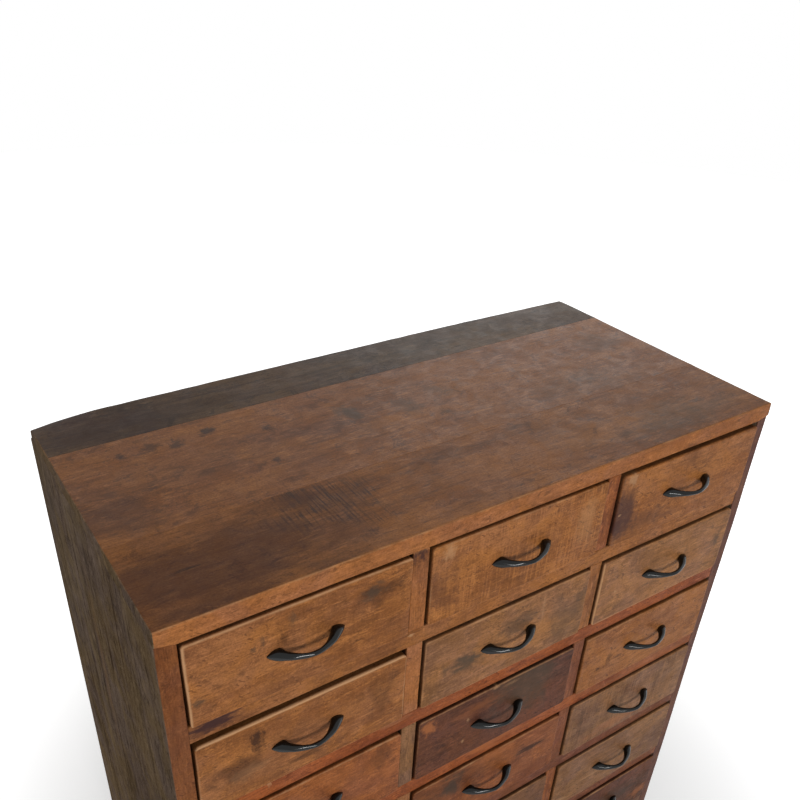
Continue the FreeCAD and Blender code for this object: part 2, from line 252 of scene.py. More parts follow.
def old_timber_group():
    """Grain, figure, pores, stains, saw marks and scratches of an old board."""
    tree, given, result = new_group("old_timber", {
        "Pale": ("Color", (0.5, 0.3, 0.2, 1.0)),
        "Body": ("Color", (0.3, 0.2, 0.1, 1.0)),
        "Dark": ("Color", (0.1, 0.05, 0.03, 1.0)),
        "Along": ("Vector", (0.12, 1.0, 1.0)),
        "Offset": ("Vector", (0.0, 0.0, 0.0)),
        "Figure": ("Float", 0.5),
        "Stains": ("Float", 0.4),
        "Saw": ("Float", 0.0),
    }, {"Color": "Color", "Roughness": "Float", "Height": "Float", "Sawn": "Float"})
    place = vectors(tree, "ADD", node(tree, "TexCoord").outputs["Object"], given["Offset"])
    drawn = vectors(tree, "MULTIPLY", place, given["Along"])
    # The patterns, some drawn out along the grain and some even
    broad = cloud(tree, vectors(tree, "MULTIPLY", drawn, (2.0, 1.0, 1.0)), 18.0, 4.0, 0.62, 0.6)
    figure = cloud(tree, drawn, 75.0, 5.0, 0.66, 1.4)
    streaks = cloud(tree, drawn, 230.0, 3.0, 0.6, 0.8)
    fibre = cloud(tree, drawn, 520.0, 2.0, 0.6)
    mottle = cloud(tree, place, 40.0, 7.0, 0.7, 0.6)
    speckle = cloud(tree, place, 420.0, 4.0, 0.7)
    eased = vectors(tree, "MULTIPLY", given["Along"], (0.7, 0.7, 0.7))
    eased = vectors(tree, "ADD", eased, (0.3, 0.3, 0.3))
    flecks = cloud(tree, vectors(tree, "MULTIPLY", place, eased), 115.0, 8.0, 0.74, 0.8)
    warmth = ramp(tree, cloud(tree, place, 15.0, 5.0, 0.6, 0.5), 0.38, 0.62)
    haze = cloud(tree, place, 9.0, 3.0)
    # Body and pale areas, then dark figure, haze and stains
    paint = blend(tree, ramp(tree, broad, 0.36, 0.66), given["Body"], given["Pale"])
    patches = times(tree, ramp(tree, mottle, 0.5, 0.68), 0.6)
    paint = blend(tree, patches, paint, given["Pale"])
    lines = times(tree, ramp(tree, figure, 0.5, 0.66), given["Figure"])
    paint = blend(tree, lines, paint, given["Dark"])
    worn_in = times(tree, ramp(tree, haze, 0.48, 0.68), 0.3)
    paint = blend(tree, worn_in, paint, given["Dark"])
    stain = ramp(tree, cloud(tree, place, 26.0, 9.0, 0.74, 0.8), 0.54, 0.64)
    paint = blend(tree, times(tree, stain, given["Stains"]), paint, given["Dark"])
    # Pale combed streaks, then dark chips and pale flecks in clusters
    lit = vectors(tree, "MULTIPLY", given["Pale"], (1.25, 1.25, 1.25))
    combed = times(tree, ramp(tree, streaks, 0.52, 0.64), ramp(tree, mottle, 0.42, 0.58))
    paint = blend(tree, times(tree, combed, 0.65), paint, lit)
    clustered = ramp(tree, mottle, 0.46, 0.62, 0.3, 1.0)
    chipped = times(tree, ramp(tree, flecks, 0.54, 0.59), clustered)
    paint = blend(tree, times(tree, chipped, 0.65), paint, given["Dark"])
    flecked = times(tree, ramp(tree, flecks, 0.45, 0.4), clustered)
    paint = blend(tree, times(tree, flecked, 0.55), paint, lit)
    # Saw marks across the board, dark nicks and pale rubs
    sawn = scratches(tree, place, (0.0, 0.0, 0.0), 380.0, (1.0, 0.04, 0.04), 0.44, 0.62)
    sawn = times(tree, sawn, ramp(tree, mottle, 0.3, 0.56))
    feed(tree, result["Sawn"], sawn)
    paint = blend(tree, times(tree, sawn, given["Saw"]), paint, lit)
    grouped = ramp(tree, haze, 0.56, 0.42)
    nicks = scratches(tree, place, (0.3, 0.9, 0.4), 430.0, (1.0, 1.0, 0.08), 0.63, 0.71)
    nicks = times(tree, nicks, grouped)
    paint = blend(tree, times(tree, nicks, 0.75), paint, given["Dark"])
    rubs = scratches(tree, place, (-0.5, -0.7, 0.2), 400.0, (1.0, 1.0, 0.07), 0.6, 0.7)
    rubs = times(tree, rubs, grouped)
    paint = blend(tree, times(tree, rubs, 0.6), paint, lit)
    # Fine grain, a warm and cool tint, and pits
    grain = times(tree, ramp(tree, fibre, 0.3, 0.7, 0.88, 1.12), ramp(tree, speckle, 0.3, 0.7, 0.8, 1.2))
    paint = vectors(tree, "MULTIPLY", paint, grain)
    tint = blend(tree, warmth, (1.05, 1.0, 0.87, 1.0), (0.97, 0.97, 1.12, 1.0))
    paint = vectors(tree, "MULTIPLY", paint, tint)
    pitted = ramp(tree, speckle, 0.64, 0.74)
    paint = blend(tree, times(tree, pitted, 0.5), paint, given["Dark"])
    feed(tree, result["Color"], paint)
    feed(tree, result["Roughness"], ramp(tree, mottle, 0.3, 0.7, 0.54, 0.4))
    height = maths(tree, "ADD", times(tree, fibre, 0.3), times(tree, figure, 0.5))
    height = maths(tree, "SUBTRACT", height, times(tree, nicks, 0.5))
    height = maths(tree, "SUBTRACT", height, times(tree, pitted, 0.4))
    height = maths(tree, "ADD", height, times(tree, mottle, 1.2))
    height = maths(tree, "SUBTRACT", height, times(tree, flecks, 0.8))
    feed(tree, result["Height"], height)
    return tree


def worn_arris_group():
    """Shows bare wood where an arris is rubbed, and old dirt with painted shade deep in the gaps."""
    tree, given, result = new_group("worn_arris", {
        "Color": ("Color", (0.5, 0.3, 0.2, 1.0)),
        "Bare": ("Color", (0.5, 0.35, 0.2, 1.0)),
        "Dirt_and_shade": ("Float", 0.0),
    }, {"Color": "Color", "Mask": "Float"})
    wear = node(tree, "Attribute", {"attribute_name": "wear"}).outputs["Fac"]
    place = node(tree, "TexCoord").outputs["Object"]
    ragged = maths(tree, "SUBTRACT", cloud(tree, place, 26.0, 8.0, 0.7), 0.5)
    rubbed = maths(tree, "ADD", wear, times(tree, ragged, 1.1))
    mask = ramp(tree, rubbed, 0.25, 1.1)
    mask = times(tree, mask, ramp(tree, wear, 0.1, 0.5))
    paint = blend(tree, mask, given["Color"], given["Bare"])
    depth = node(tree, "Attribute", {"attribute_name": "depth"}).outputs["Fac"]
    # Painted shade and old dirt: faces more than about 1.2 mm behind the seen face, down in the gaps, go
    # nearly black
    dirt_and_shade_mask = times(tree, ramp(tree, depth, 1.2, 4.5), given["Dirt_and_shade"])
    feed(tree, result["Color"], blend(tree, dirt_and_shade_mask, paint, (0.011, 0.006, 0.003, 1.0)))
    feed(tree, result["Mask"], mask)
    return tree


def smudge_group():
    """One soft mark with a ragged outline round a place on a board."""
    tree, given, result = new_group("smudge", {
        "Place": ("Vector", (0.0, 0.0, 0.0)),
        "Reach": ("Vector", (1.0, 1.0, 1.0)),
    }, {"Mask": "Float"})
    place = node(tree, "TexCoord").outputs["Object"]
    away = vectors(tree, "DIVIDE", vectors(tree, "SUBTRACT", place, given["Place"]), given["Reach"])
    moved = vectors(tree, "ADD", away, vectors(tree, "MULTIPLY", given["Place"], (137.0, 137.0, 137.0)))
    ragged = maths(tree, "SUBTRACT", cloud(tree, moved, 1.3, 9.0, 0.66, 0.3), 0.5)
    away = vectors(tree, "LENGTH", away, (0.0, 0.0, 0.0))
    away = maths(tree, "ADD", away, times(tree, ragged, 3.5))
    feed(tree, result["Mask"], ramp(tree, away, 1.3, 0.2))
    return tree


OLD_TIMBER = old_timber_group()
WORN_ARRIS = worn_arris_group()
SMUDGE = smudge_group()
ALONG_X = (0.12, 1.0, 1.0)
ALONG_Y = (1.0, 0.12, 1.0)
ALONG_Z = (1.0, 1.0, 0.12)
# Each tone of timber: its pale, body and dark colours
TONES = {
    "golden": ("#9b663a", "#82522e", "#54321d"),
    "russet": ("#955b34", "#7a4629", "#4e2818"),
    "sandy": ("#996b45", "#7f5838", "#523929"),
    "plum": ("#643c29", "#492d1f", "#2c1912"),
    "orange": ("#985630", "#7e4224", "#522413"),
    "umber": ("#76523a", "#5f3f2b", "#3b261a"),
    "smoke": ("#67503b", "#4a382b", "#2a1f18"),
    "honey": ("#a1693f", "#8f5a34", "#653f24"),
    "fawn": ("#886243", "#76533a", "#463022"),
    "drab": ("#7d6b57", "#6b5a48", "#3d3228"),
    "chestnut": ("#80502f", "#6f4226", "#4a2b1a"),
    "mauve": ("#6a4636", "#5a3930", "#3d2520"),
    "brick": ("#7f4e34", "#6c3f2b", "#452618"),
    "plain": ("#b08a5e", "#9c774e", "#74543a"),
    "sheet": ("#8f7150", "#7b5f42", "#573f2c"),
}
STAINS_AND_SHEEN = {
    "dark": "#2e1c14",
    "grey": "#483c30",
    "purple": "#3f2723",
    # dark_red: a darker red-brown for patches at the left of the top
    "dark_red": "#35190f",
    # painted_sheen is a painted reflection: the grey-white sheen that the bright surround gives the waxed
    # top and the side
    "painted_sheen": "#8d8478",
    "pale": "#b58a63",
    "orange": "#a8663b",
    "sawn": "#2f1f18",
}
BARE_WOOD = "#bd9068"


def new_material(name):
    """A material with its nodes and its one shader."""
    material = bpy.data.materials.new(name)
    material.use_nodes = True
    return material, material.node_tree, material.node_tree.nodes["Principled BSDF"]


def group_node(tree, group):
    made = node(tree, "Group")
    made.node_tree = group
    return made


def timber(name, tone, along, seed, marks=(), figure=0.3, stains=0.4, saw=0.0, gloss=0.06,
           bare=BARE_WOOD, dirt_and_shade=0.0):
    """The waxed surface of one old board, with the marks that it has picked up.

    A mark is its stain, its place and its reach in metres, and its strength. The mark painted_sheen is a
    painted reflection of the bright surround, not a stain.
    """
    material, tree, shader = new_material(name)
    pale, body, dark = [colour(code) for code in TONES[tone]]
    wood = group_node(tree, OLD_TIMBER)
    offset = Vector((seed * 1.7, seed * 0.9, seed * 2.3))
    values = {"Pale": pale, "Body": body, "Dark": dark, "Along": along, "Offset": offset,
              "Figure": figure, "Stains": stains, "Saw": saw}
    for label, value in values.items():
        feed(tree, wood.inputs[label], value)
    paint = wood.outputs["Color"]
    for stain, place, reach, strength in marks:
        mark = group_node(tree, SMUDGE)
        feed(tree, mark.inputs["Place"], place)
        feed(tree, mark.inputs["Reach"], reach)
        mask = times(tree, mark.outputs["Mask"], strength)
        if stain == "sawn":
            mask = times(tree, mask, wood.outputs["Sawn"])
        paint = blend(tree, mask, paint, colour(STAINS_AND_SHEEN[stain]))
    worn = group_node(tree, WORN_ARRIS)
    feed(tree, worn.inputs["Color"], paint)
    feed(tree, worn.inputs["Bare"], colour(bare))
    # How dark old dirt and painted shade make the faces deep in the gaps
    feed(tree, worn.inputs["Dirt_and_shade"], dirt_and_shade)
    feed(tree, shader.inputs["Base Color"], worn.outputs["Color"])
    roughness = maths(tree, "ADD", wood.outputs["Roughness"], times(tree, worn.outputs["Mask"], 0.15))
    feed(tree, shader.inputs["Roughness"], roughness)
    feed(tree, shader.inputs["Specular IOR Level"], gloss)
    bump = node(tree, "Bump", None, Strength=0.6, Distance=0.4 * MM, Height=wood.outputs["Height"])
    feed(tree, shader.inputs["Normal"], bump.outputs["Normal"])
    return material


def fit(piece, body, slot, material, *nodes):
    """Paints a piece, lets it ride on its body, and hides the CAD nodes it stands for."""
    piece.data.materials.clear()
    piece.data.materials.append(material)
    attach(piece, body)
    if nodes:
        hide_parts(*nodes)


top_low, top_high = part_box("top_boards")
frame_low, frame_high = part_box("face_frame")
TOP_BOARD_DEPTHS = [142.0 * MM, 206.0 * MM, 92.0 * MM]
TOP_END_RISE = 5.0 * MM
BACK_WEAR_REACH = 60.0 * MM
BACK_WEAR_DROP = 0.35
# How far the back edge has worn in, at each distance from the left end, in mm
BACK_EDGE_WEAR = [(0.0, 9.5), (29.0, 5.0), (55.0, 2.0), (81.0, 0.3), (400.0, 0.0), (671.0, 0.3),
                  (902.0, 4.0)]


def between(rows, value):
    """Reads a list of pairs at a value, in straight steps."""
    for (start, one), (end, other) in zip(rows, rows[1:]):
        if value <= end:
            return one + (other - one) * max(0.0, value - start) / (end - start)
    return rows[-1][1]


def shape_top(point):
    """Bevels the underside over the two sides, and wears the back edge in."""
    along = (point.x - top_low.x) / MM
    over_left = (frame_low.x - point.x) / (frame_low.x - top_low.x)
    over_right = (point.x - frame_high.x) / (top_high.x - frame_high.x)
    thickness = (top_high.z - point.z) / (top_high.z - top_low.z)
    point.z += TOP_END_RISE * max(0.0, over_left, over_right) * thickness
    behind = max(0.0, (point.y - (top_high.y - BACK_WEAR_REACH)) / BACK_WEAR_REACH)
    worn = between(BACK_EDGE_WEAR, along) * MM
    point.y -= worn * behind ** 2
    point.z -= BACK_WEAR_DROP * worn * behind ** 4 * (1.0 - thickness)
    return point


def on_top(x, from_back):
    """A place on the top, from millimetres from its left end and its back edge."""
    return (top_low.x + x * MM, top_high.y - from_back * MM, top_high.z)


def top_mark(stain, x, from_back, reach_x, reach_y, strength):
    return (stain, on_top(x, from_back), (reach_x * MM, reach_y * MM, 1.0), strength)


TOP_MARKS = [
    [
        # A darker red-brown patch at the front left
        top_mark("dark_red", 100.0, 375.0, 190.0, 75.0, 0.6),
        top_mark("dark", 66.0, 369.0, 18.0, 2.5, 0.9),
        top_mark("sawn", 235.0, 342.0, 85.0, 60.0, 0.85),
        top_mark("dark", 250.0, 335.0, 60.0, 34.0, 0.25),
        top_mark("grey", 760.0, 398.0, 120.0, 35.0, 0.4),
        # Painted sheen on the right of the front board
        top_mark("painted_sheen", 700.0, 370.0, 240.0, 90.0, 0.06),
        top_mark("dark", 540.0, 312.0, 22.0, 6.0, 0.4),
        top_mark("dark", 440.0, 325.0, 120.0, 12.0, 0.25),
    ],
    [
        top_mark("dark", 188.0, 125.0, 13.0, 11.0, 0.9),
        top_mark("dark", 145.0, 135.0, 11.0, 15.0, 0.75),
        top_mark("dark", 115.0, 128.0, 15.0, 11.0, 0.65),
        top_mark("dark", 260.0, 155.0, 7.0, 8.0, 0.8),
        top_mark("dark", 75.0, 133.0, 6.0, 8.0, 0.8),
        top_mark("dark", 235.0, 230.0, 6.0, 7.0, 0.8),
        top_mark("grey", 372.0, 175.0, 18.0, 26.0, 0.7),
        top_mark("grey", 448.0, 195.0, 20.0, 28.0, 0.5),
        top_mark("dark", 415.0, 183.0, 18.0, 2.0, 0.4),
        top_mark("grey", 510.0, 180.0, 26.0, 20.0, 0.4),
        top_mark("grey", 485.0, 232.0, 12.0, 8.0, 0.5),
        top_mark("dark", 120.0, 190.0, 34.0, 10.0, 0.3),
        top_mark("dark", 150.0, 215.0, 15.0, 7.0, 0.45),
        top_mark("grey", 840.0, 170.0, 40.0, 32.0, 0.35),
        top_mark("grey", 700.0, 250.0, 130.0, 50.0, 0.25),
        top_mark("dark", 30.0, 240.0, 70.0, 40.0, 0.35),
    ],
    [
        top_mark("dark", 400.0, 45.0, 60.0, 6.0, 0.5),
        top_mark("dark", 250.0, 30.0, 90.0, 3.0, 0.6),
        top_mark("dark", 330.0, 70.0, 110.0, 3.0, 0.5),
        # A darker red-brown patch at the back left
        top_mark("dark_red", 70.0, 45.0, 90.0, 50.0, 0.5),
        top_mark("dark", 735.0, 27.0, 8.0, 5.0, 0.5),
        # Painted sheen towards the right of the back board
        top_mark("painted_sheen", 660.0, 45.0, 320.0, 70.0, 0.12),
        top_mark("dark", 627.0, 73.0, 8.0, 4.0, 0.5),
        top_mark("dark", 150.0, 60.0, 260.0, 32.0, 0.5),
    ],
]
TOP_TONES = ["golden", "golden", "smoke"]
TOP_GLOSS = [0.14, 0.19, 0.12]
EDGE_RETURN = 1.2 * MM
top_edge_timber = timber("top_edge_timber", "honey", ALONG_X, 16.0)
top_end_timber = timber("top_end_timber", "drab", ALONG_Z, 17.0, gloss=0.0)
edge_y = top_low.y
for number, depth in enumerate(TOP_BOARD_DEPTHS):
    is_front = number == 0
    is_back = number == len(TOP_BOARD_DEPTHS) - 1
    arris = {
        LEFT: (1.8 * MM, 0.5),
        RIGHT: (1.8 * MM, 0.4),
        FRONT: (1.9 * MM, 0.6) if is_front else (0.25 * MM, 0.1),
        BACK: (2.5 * MM, 0.3) if is_back else (0.25 * MM, 0.1),
    }
    board = worn_board("top_board_%d" % (number + 1), (top_low.x, edge_y, top_low.z),
                       (top_high.x, edge_y + depth, top_high.z), UP, arris, seed=3.0 + number,
                       extra={0: (frame_low.x, frame_high.x)}, shape=shape_top)
    wood = timber("top_timber_%d" % (number + 1), TOP_TONES[number], ALONG_X, 11.0 + number,
                  TOP_MARKS[number], figure=0.4, stains=0.6, gloss=TOP_GLOSS[number])
    fit(board, "case", "top_wood", wood, "top_boards")
    board.data.materials.append(top_edge_timber)
    board.data.materials.append(top_end_timber)
    for face in board.data.polygons:
        end_gap = min(face.center.x - top_low.x, top_high.x - face.center.x)
        if end_gap < EDGE_RETURN:
            face.material_index = 2
        elif face.center.y < top_low.y + EDGE_RETURN:
            face.material_index = 1
    edge_y += depth

# The two sides: single upright boards of a greyer timber that run to the
# floor, rebated for the back. Their front edges show as the outer stiles.
side_arris = {
    FRONT: (1.6 * MM, 0.35),
    BACK: (1.0 * MM, 0.1),
    DOWN: (1.2 * MM, 0.3),
    UP: (0.4 * MM, 0.1),
}
panel_low, panel_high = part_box("back_panel")
SLANT_REACH = 20.0 * MM
WAVE_FADE = 2.5
REBATE_SHARP = math.radians(60.0)
# How far the right side stands in from its widest, at each depth below the top, in mm
RIGHT_EDGE_WAVE = [(0.0, 2.0), (18.0, 2.2), (64.0, 2.8), (138.0, 1.8), (205.0, 0.0), (300.0, 1.0),
                   (450.0, 3.0), (552.0, 2.0), (700.0, 0.0), (940.0, 0.5)]


def shape_side(outer, inner, rebate):
    """Slants a side's top edge, cuts its rebate for the back, and lets its face wave."""
    def shape(point):
        inside = (point.x - outer) / (inner - outer)
        if point.y > panel_low.y - 0.01 * MM and inside > (rebate - outer) / (inner - outer):
            point.x = rebate
        if point.z > top_low.z - SLANT_REACH:
            above = point.z - top_low.z + SLANT_REACH
            point.z -= TOP_END_RISE * inside * above / (TOP_END_RISE + SLANT_REACH)
        if outer > 0.0:
            wave = between(RIGHT_EDGE_WAVE, (top_high.z - point.z) / MM) * MM
            point.x -= wave * max(0.0, 1.0 - WAVE_FADE * inside)
        return point
    return shape


def close_rebate(board):
    """Merges the points that the rebate has brought together, and keeps its corners sharp."""
    merged = bmesh.new()
    merged.from_mesh(board.data)
    bmesh.ops.remove_doubles(merged, verts=merged.verts, dist=0.001 * MM)
    merged.to_mesh(board.data)
    merged.free()
    board.data.set_sharp_from_angle(angle=REBATE_SHARP)


def side_mark(stain, from_back, below_top, reach_y, reach_z, strength):
    place = (top_low.x, top_high.y - from_back * MM, top_high.z - below_top * MM)
    return (stain, place, (1.0, reach_y * MM, reach_z * MM), strength)


SIDE_MARKS = [
    side_mark("dark", 240.0, 190.0, 5.0, 70.0, 0.55),
    side_mark("dark", 167.0, 260.0, 4.0, 150.0, 0.4),
    side_mark("dark", 200.0, 420.0, 4.0, 120.0, 0.4),
    side_mark("dark", 120.0, 330.0, 6.0, 140.0, 0.35),
    side_mark("dark", 80.0, 500.0, 7.0, 200.0, 0.35),
    side_mark("pale", 185.0, 300.0, 8.0, 160.0, 0.18),
    # Painted sheen on the upper back of the side
    side_mark("painted_sheen", 60.0, 110.0, 120.0, 240.0, 0.11),
    side_mark("dark", 350.0, 520.0, 150.0, 240.0, 0.25),
    side_mark("dark", 300.0, 120.0, 2.5, 80.0, 0.6),
    side_mark("dark", 140.0, 130.0, 2.0, 60.0, 0.6),
    side_mark("dark", 60.0, 210.0, 2.5, 90.0, 0.5),
]
for label, outer_x, inner_x, rebate_x, show, tone in (
        ("left", top_low.x, frame_low.x, panel_low.x, LEFT, "chestnut"),
        ("right", top_high.x, frame_high.x, panel_high.x, RIGHT, "mauve")):
    foot = (min(outer_x, inner_x), top_low.y, 0.0)
    crown = (max(outer_x, inner_x), top_high.y, top_low.z + TOP_END_RISE)
    board = worn_board(label + "_side_board", foot, crown, show, side_arris, seed=8.0 + outer_x,
                       extra={0: (rebate_x,), 1: (panel_low.y - 0.02 * MM, panel_low.y)},
                       shape=shape_side(outer_x, inner_x, rebate_x))
    close_rebate(board)
    wood = timber(label + "_side_timber", "drab", ALONG_Z, 20.0 + outer_x, SIDE_MARKS,
                  figure=0.6, gloss=0.0)
    fit(board, "case", "side_wood", wood, label + "_side")
    stile_timber = timber(label + "_stile_timber", tone, ALONG_Z, 24.0 + outer_x, gloss=0.05)
    board.data.materials.append(stile_timber)
    for face in board.data.polygons:
        face.material_index = 1 if face.center.y < top_low.y + EDGE_RETURN else 0

# The face frame: rails from side to side, short dividers let in between them,
# and a plain plinth set a little back. Softwood and hardwood bars of all
# tones, glued flush, with their front arrises lightly rubbed.
ROWS, COLUMNS = 6, 3
DRAWER_RUN_GAP = 0.4 * MM
FRONT_SIDE_GAP = 2.0 * MM
PLINTH_SET_BACK = 4.0 * MM
sills = [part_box("drawer_box_r%dc1" % (row + 1))[0].z - DRAWER_RUN_GAP for row in range(ROWS)]
opening_height = top_low.z - sills[0]
rail_height = sills[0] - sills[1] - opening_height
frame_back_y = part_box("inner_frame")[0].y
bar_arris = {
    LEFT: (0.9 * MM, 0.3),
    RIGHT: (0.9 * MM, 0.3),
    DOWN: (1.0 * MM, 0.3),
    UP: (1.2 * MM, 0.45),
}


def on_front(x, below_top):
    """A place on the front, from millimetres from the left side and the top."""
    return (top_low.x + x * MM, frame_low.y, top_high.z - below_top * MM)


def front_mark(stain, x, below_top, reach_x, reach_z, strength):
    return (stain, on_front(x, below_top), (reach_x * MM, 1.0, reach_z * MM), strength)


FRAME_MARKS = {
    "rail_1": [
        front_mark("purple", 48.0, 150.0, 36.0, 10.0, 1.0),
        front_mark("pale", 297.0, 147.0, 5.0, 2.0, 0.8),
    ],
    "rail_2": [
        front_mark("pale", 107.0, 285.0, 4.0, 8.0, 0.6),
        front_mark("pale", 285.0, 287.0, 26.0, 4.0, 0.3),
    ],
    "rail_3": [
        front_mark("orange", 460.0, 430.0, 60.0, 14.0, 0.5),
        front_mark("pale", 770.0, 430.0, 150.0, 30.0, 0.16),
    ],
    "rail_4": [front_mark("pale", 573.0, 558.0, 4.0, 3.0, 0.6)],
    "divider_1_1": [front_mark("purple", 302.0, 28.0, 12.0, 14.0, 0.9)],
}
RAIL_TONES = ["golden", "orange", "orange", "brick", "brick", "umber"]
DIVIDER_TONES = [["honey", "honey", "fawn", "golden", "russet", "golden"],
                 ["russet", "golden", "brick", "brick", "russet", "umber"]]
bars = []
for row, sill in enumerate(sills):
    bars.append(("rail_%d" % (row + 1), (frame_low.x, frame_low.y, sill - rail_height),
                 (frame_high.x, frame_back_y, sill), RAIL_TONES[row], ALONG_X))
    for column in range(COLUMNS - 1):
        left_front = "drawer_front_r%dc%d" % (row + 1, column + 1)
        right_front = "drawer_front_r%dc%d" % (row + 1, column + 2)
        left_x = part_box(left_front)[1].x + FRONT_SIDE_GAP
        right_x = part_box(right_front)[0].x - FRONT_SIDE_GAP
        bars.append(("divider_%d_%d" % (row + 1, column + 1), (left_x, frame_low.y, sill),
                     (right_x, frame_back_y, sill + opening_height), DIVIDER_TONES[column][row], ALONG_Z))
bars.append(("plinth", (frame_low.x, frame_low.y + PLINTH_SET_BACK, 0.0),
             (frame_high.x, frame_back_y, sills[-1] - rail_height), "umber", ALONG_X))
for number, (label, low, high, tone, along) in enumerate(bars):
    bar = worn_board(label, low, high, FRONT, bar_arris, wander=0.3 * MM, seed=30.0 + number)
    # Old dirt and painted shade darken each bar's faces in the gaps
    wood = timber(label + "_timber", tone, along, 40.0 + number, FRAME_MARKS.get(label, ()), dirt_and_shade=0.75)
    fit(bar, "case", "frame_wood", wood, "face_frame")

# The carcass inside: a bottom, two partitions and two runners for each drawer,
# sawn from plain new softwood that was never waxed. The CAD solids show as they are.
plain_timber = timber("plain_timber", "plain", ALONG_Y, 71.0, figure=0.4, stains=0.15)
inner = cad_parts["inner_frame"]
inner.data.materials.clear()
inner.data.materials.append(plain_timber)

# The back: one sheet of thin plywood let into the rebates of the two sides.
# The CAD solid shows as it is, a darker brown than the carcass.
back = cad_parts["back_panel"]
back.data.materials.clear()
back.data.materials.append(timber("back_sheet", "sheet", ALONG_Z, 75.0, figure=0.5, stains=0.3))

# The drawer fronts: one old board each, no two alike, with heavily worn
# corners and arrises, nailed and glued on the drawer box behind.
FRONT_TONES = [
    ["golden", "golden", "golden"],
    ["golden", "sandy", "sandy"],
    ["russet", "plum", "golden"],
    ["sandy", "russet", "fawn"],
    ["golden", "umber", "fawn"],
    ["russet", "sandy", "plum"],
]
FRONT_MARKS = {
    "r1c1": [
        front_mark("grey", 97.0, 65.0, 4.0, 4.0, 0.6),
        front_mark("grey", 108.0, 60.0, 3.0, 8.0, 0.5),
        front_mark("grey", 143.0, 45.0, 5.0, 9.0, 0.5),
        front_mark("dark", 83.0, 92.0, 4.0, 4.0, 0.4),
        front_mark("grey", 35.0, 107.0, 8.0, 7.0, 0.6),
        front_mark("dark", 252.0, 58.0, 30.0, 15.0, 0.6),
        front_mark("grey", 238.0, 52.0, 16.0, 12.0, 0.6),
        front_mark("dark", 130.0, 66.0, 6.0, 12.0, 0.5),
    ],
    "r1c2": [
        front_mark("pale", 341.0, 38.0, 9.0, 12.0, 0.6),
        front_mark("purple", 333.0, 85.0, 30.0, 40.0, 0.45),
        front_mark("pale", 560.0, 75.0, 16.0, 40.0, 0.25),
    ],
    "r1c3": [
        front_mark("purple", 622.0, 85.0, 30.0, 60.0, 0.8),
        front_mark("purple", 680.0, 118.0, 70.0, 16.0, 0.4),
        front_mark("purple", 616.0, 112.0, 34.0, 22.0, 0.6),
        front_mark("pale", 633.0, 38.0, 9.0, 10.0, 0.6),
        front_mark("pale", 620.0, 90.0, 3.0, 2.0, 0.6),
    ],
    "r2c1": [
        front_mark("dark", 95.0, 198.0, 9.0, 17.0, 0.85),
        front_mark("dark", 72.0, 236.0, 34.0, 26.0, 0.6),
        front_mark("pale", 84.0, 244.0, 26.0, 12.0, 0.15),
        front_mark("dark", 150.0, 262.0, 34.0, 6.0, 0.6),
        front_mark("dark", 255.0, 215.0, 22.0, 40.0, 0.35),
    ],
    "r2c2": [
        front_mark("grey", 388.0, 232.0, 30.0, 15.0, 0.85),
        front_mark("grey", 350.0, 230.0, 5.0, 14.0, 0.4),
        front_mark("grey", 470.0, 206.0, 40.0, 20.0, 0.6),
        front_mark("pale", 508.0, 195.0, 3.0, 30.0, 0.35),
        front_mark("grey", 560.0, 235.0, 34.0, 40.0, 0.45),
    ],
    "r2c3": [
        front_mark("grey", 858.0, 218.0, 9.0, 18.0, 0.6),
        front_mark("pale", 648.0, 232.0, 4.0, 3.0, 0.6),
        front_mark("pale", 608.0, 210.0, 6.0, 60.0, 0.4),
    ],
    "r3c2": [
        front_mark("grey", 500.0, 340.0, 60.0, 60.0, 0.6),
        front_mark("pale", 470.0, 318.0, 16.0, 3.0, 0.25),
        front_mark("orange", 333.0, 325.0, 12.0, 14.0, 0.7),
        front_mark("orange", 420.0, 335.0, 40.0, 12.0, 0.25),
        front_mark("pale", 445.0, 312.0, 5.0, 3.0, 0.5),
        front_mark("pale", 400.0, 350.0, 3.0, 4.0, 0.5),
        front_mark("pale", 395.0, 390.0, 3.0, 3.0, 0.5),
    ],
    "r5c3": [
        front_mark("pale", 625.0, 690.0, 26.0, 5.0, 0.5),
        front_mark("pale", 650.0, 715.0, 30.0, 4.0, 0.45),
        front_mark("pale", 700.0, 668.0, 40.0, 3.0, 0.4),
    ],
    "r4c3": [
        front_mark("dark", 660.0, 505.0, 70.0, 70.0, 0.25),
        front_mark("dark", 640.0, 500.0, 6.0, 50.0, 0.4),
        front_mark("dark", 735.0, 480.0, 5.0, 46.0, 0.35),
        front_mark("dark", 812.0, 500.0, 7.0, 50.0, 0.4),
        front_mark("orange", 720.0, 545.0, 60.0, 12.0, 0.35),
    ],
    "r3c3": [
        front_mark("dark", 650.0, 387.0, 5.0, 5.0, 0.8),
        front_mark("dark", 672.0, 378.0, 7.0, 16.0, 0.5),
        front_mark("dark", 690.0, 380.0, 14.0, 3.0, 0.6),
    ],
    "r4c2": [
        front_mark("grey", 385.0, 475.0, 20.0, 27.0, 0.85),
        front_mark("dark", 380.0, 480.0, 80.0, 50.0, 0.5),
        front_mark("orange", 455.0, 458.0, 70.0, 16.0, 0.4),
        front_mark("dark", 537.0, 490.0, 32.0, 6.0, 0.85),
    ],
    "r3c1": [
        front_mark("dark", 262.0, 330.0, 16.0, 30.0, 0.4),
        front_mark("orange", 276.0, 372.0, 14.0, 10.0, 0.4),
    ],
    "r6c3": [
        front_mark("grey", 760.0, 790.0, 80.0, 30.0, 0.4),
        front_mark("orange", 860.0, 820.0, 22.0, 14.0, 0.5),
    ],
}
